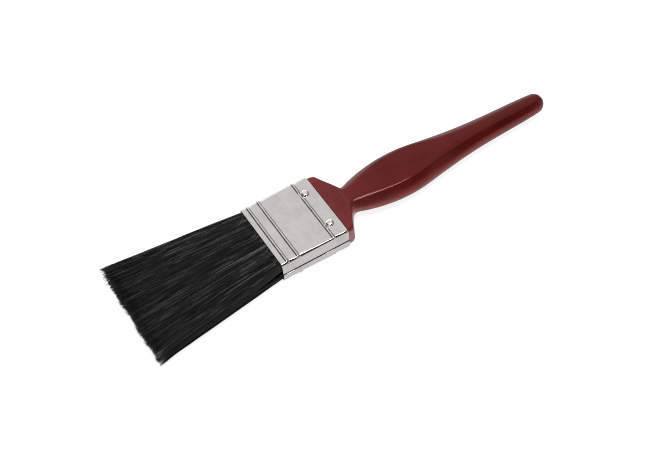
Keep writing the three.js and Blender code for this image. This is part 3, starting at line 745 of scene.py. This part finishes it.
def tube_mesh(name, pts, rad, mat, sides=5):
    n, k = pts.shape[:2]
    a = np.arange(sides) / sides * 2 * np.pi + 0.4
    ring = np.stack([np.zeros(sides), np.cos(a), np.sin(a)], -1)
    v = pts[:, :, None, :] + rad[:, :, None, None] * ring[None, None, :, :]
    v = row(v.reshape(-1, 3))
    base = (np.arange(n) * k * sides)[:, None, None]
    i = (np.arange(k - 1) * sides)[None, :, None]
    j = np.arange(sides)[None, None, :]
    j2 = (np.arange(sides) + 1)[None, None, :] % sides
    q = np.stack([base + i + j, base + i + j2, base + i + sides + j2, base + i + sides + j], -1).reshape(-1, 4)
    q = q[:, ::-1]
    b = (np.arange(n) * k * sides)[:, None]
    cap0 = b + np.arange(sides)[None, :]
    cap1 = b + (k - 1) * sides + np.arange(sides)[None, ::-1]
    corners = np.concatenate([q.ravel(), cap0.ravel(), cap1.ravel()]).astype(np.int32)
    starts = np.concatenate([np.arange(len(q)) * 4, len(q) * 4 + np.arange(2 * n) * sides]).astype(np.int32)
    mats = np.concatenate([np.repeat(mat, (k - 1) * sides), mat, mat])
    me = bpy.data.meshes.new(name)
    me.vertices.add(len(v))
    me.vertices.foreach_set("co", v.astype(np.float32).ravel())
    me.loops.add(len(corners))
    me.loops.foreach_set("vertex_index", corners)
    me.polygons.add(len(starts))
    me.polygons.foreach_set("loop_start", starts)
    me.polygons.foreach_set("material_index", mats.astype(np.int32))
    me.update(calc_edges=True)
    me.validate()
    me.polygons.foreach_set("use_smooth", np.ones(len(me.polygons), bool))
    me.update()
    ob = bpy.data.objects.new(name, me)
    bpy.context.scene.collection.objects.link(ob)
    return ob


def build_filling():
    shades = [
        filament("filament_black", (0.0011, 0.0010, 0.0010), (0.0040, 0.0037, 0.0035), (0.007, 0.0065, 0.006), 0.42, 0.12),
        filament("filament_brown_black", (0.0046, 0.0041, 0.0038), (0.0125, 0.0111, 0.0100), (0.016, 0.014, 0.012), 0.40, 0.22),
        filament("filament_slate", (0.0100, 0.0095, 0.0092), (0.0255, 0.0240, 0.0226), (0.030, 0.028, 0.025), 0.36, 0.36),
        filament("filament_grey", (0.054, 0.049, 0.046), (0.140, 0.127, 0.118), (0.095, 0.088, 0.078), 0.34, 0.45),
        filament("filament_pale_tip", (0.012, 0.011, 0.010), (0.030, 0.028, 0.026), (0.46, 0.45, 0.44), 0.36, 0.45, -0.1070),
    ]
    made = []
    for side, bank in ((1, "upper"), (-1, "lower")):
        rng = np.random.default_rng(2024 + side)
        pts, rad, u, tone = strands(side, 4700, 520, rng, np.random.default_rng(77))
        mat = np.digitize(tone, [0.53, 0.70, 0.85, 1.5])
        at = np.clip(((1 - u) / 2 * TUFTS).astype(int), 0, TUFTS - 1)
        for i in range(TUFTS):
            on = at == i
            ob = tube_mesh(f"tuft_{bank}_{i + 1}", pts[on], rad[on], mat[on])
            for m in shades:
                ob.data.materials.append(m)
            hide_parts(f"bristle_{bank}_{i + 1}", f"bristle_root_{bank}")
            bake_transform(ob)
            made.append(ob)
    return made


# ------------------------------------------------------------------ build
LACQUER, NICKEL, NAILMAT = lacquer(), nickel(), nail_metal()

handle = build_handle()
handle.data.materials.clear()
handle.data.materials.append(LACQUER)
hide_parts("handle")
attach(handle, "handle_assembly")

ferrule = build_ferrule()
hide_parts("ferrule")
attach(ferrule, "handle_assembly")

for i, (name, (x, y, side)) in enumerate(NAILS.items()):
    ob = build_nail(name.replace("nail", "pin"), x, y, side, 40 + i)
    ob.data.materials.append(NAILMAT)
    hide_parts(name)
    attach(ob, "handle_assembly")

for name, mat in (("setting_resin", resin()), ("spacer_plug", plug_wood())):
    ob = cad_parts[name]
    ob.data.materials.clear()
    ob.data.materials.append(mat)

build_filling()

# ------------------------------------------------------------------ stage, camera, light
bm = bmesh.new()
bmesh.ops.create_grid(bm, x_segments=2, y_segments=2, size=6.0)
me = bpy.data.meshes.new("studio_floor")
bm.to_mesh(me)
bm.free()
floor = bpy.data.objects.new("studio_floor", me)
bpy.context.scene.collection.objects.link(floor)
fmat, fnt, fp = material("studio_floor")
fp.inputs["Base Color"].default_value = (0.30, 0.30, 0.30, 1)
fp.inputs["Roughness"].default_value = 0.65
fp.inputs["Specular IOR Level"].default_value = 0.1
fp.inputs["Emission Color"].default_value = (1, 1, 1, 1)
seen = fnt.nodes.new("ShaderNodeLightPath")
fnt.links.new(span(fnt, seen.outputs["Is Camera Ray"], 0, 1, 0.50, 0.86), fp.inputs["Emission Strength"])
floor.data.materials.append(fmat)

cam_data = bpy.data.cameras.new("camera")
cam_data.sensor_fit = "HORIZONTAL"
cam_data.sensor_width = 36.0
cam_data.lens = 85.95
cam_data.clip_start, cam_data.clip_end = 0.01, 50.0
cam = bpy.data.objects.new("camera", cam_data)
bpy.context.scene.collection.objects.link(cam)
RIGHT, UP, BACK = (0.854872, -0.513115, -0.076856), (0.448533, 0.656421, 0.606572), (-0.260791, -0.553014, 0.791305)
PLACE = (-0.199453, -0.397418, 0.562462)
cam.matrix_world = Matrix((
    (RIGHT[0], UP[0], BACK[0], PLACE[0]),
    (RIGHT[1], UP[1], BACK[1], PLACE[1]),
    (RIGHT[2], UP[2], BACK[2], PLACE[2]),
    (0, 0, 0, 1),
))
bpy.context.scene.camera = cam

world = bpy.data.worlds.new("studio")
bpy.context.scene.world = world
world.use_nodes = True
wt = world.node_tree
wt.nodes.clear()
wout = wt.nodes.new("ShaderNodeOutputWorld")
tc = wt.nodes.new("ShaderNodeTexCoord")
sep = wt.nodes.new("ShaderNodeSeparateXYZ")
wt.links.new(tc.outputs["Generated"], sep.inputs["Vector"])
dx, dy, dz = sep.outputs["X"], sep.outputs["Y"], sep.outputs["Z"]
# a broad soft light above and behind, dim room on the viewer's side and to both ends, one brighter lamp overhead
light = maths(wt, "MULTIPLY", span(wt, dy, -0.34, -0.14, 0, 1, "SMOOTHSTEP"), span(wt, dx, -0.58, -0.30, 0.07, 1, "SMOOTHSTEP"))
light = maths(wt, "MULTIPLY", light, span(wt, dx, 0.62, 0.80, 1, 0.17, "SMOOTHSTEP"))
light = maths(wt, "MULTIPLY", light, span(wt, dz, 0.1, 0.75, 1.7, 0.93, "SMOOTHSTEP"))
# low light beyond the near edge of the table
low = span(wt, dy, -0.98, -0.83, 1, 0)
near_light = maths(wt, "MULTIPLY", maths(wt, "MULTIPLY", low, low), 0.85)
ends = maths(wt, "ADD", span(wt, dx, -0.50, -0.38, 0.7, 0, "SMOOTHSTEP"), span(wt, dx, 0.50, 0.60, 0, 0.6, "SMOOTHSTEP"))
near_light = maths(wt, "ADD", near_light, maths(wt, "MULTIPLY", ends, span(wt, dy, -0.45, -0.20, 1, 0, "SMOOTHSTEP")))
light = maths(wt, "ADD", light, near_light)
across = maths(wt, "MULTIPLY", span(wt, dx, -0.40, -0.30, 0, 1, "SMOOTHSTEP"), span(wt, dx, 0.27, 0.325, 1, 0, "SMOOTHSTEP"))
along = maths(wt, "MULTIPLY", span(wt, dy, -0.35, -0.26, 0, 1, "SMOOTHSTEP"), span(wt, dy, -0.19, -0.12, 1, 0, "SMOOTHSTEP"))
lamp = maths(wt, "MULTIPLY", maths(wt, "MULTIPLY", across, along), span(wt, dz, 0.3, 0.6, 0, 16.0))
total = maths(wt, "ADD", maths(wt, "ADD", light, lamp), 0.035)
soft = wt.nodes.new("ShaderNodeBackground")
wt.links.new(total, soft.inputs["Strength"])
plain = wt.nodes.new("ShaderNodeBackground")
plain.inputs["Color"].default_value = (1, 1, 1, 1)
plain.inputs["Strength"].default_value = 0.98
path = wt.nodes.new("ShaderNodeLightPath")
mix = wt.nodes.new("ShaderNodeMixShader")
wt.links.new(path.outputs["Is Camera Ray"], mix.inputs["Fac"])
wt.links.new(soft.outputs["Background"], mix.inputs[1])
wt.links.new(plain.outputs["Background"], mix.inputs[2])
wt.links.new(mix.outputs["Shader"], wout.inputs["Surface"])

bpy.context.scene.view_settings.view_transform = "Standard"
bpy.context.scene.view_settings.look = "None"
bpy.context.scene.cycles.filter_width = 0.95
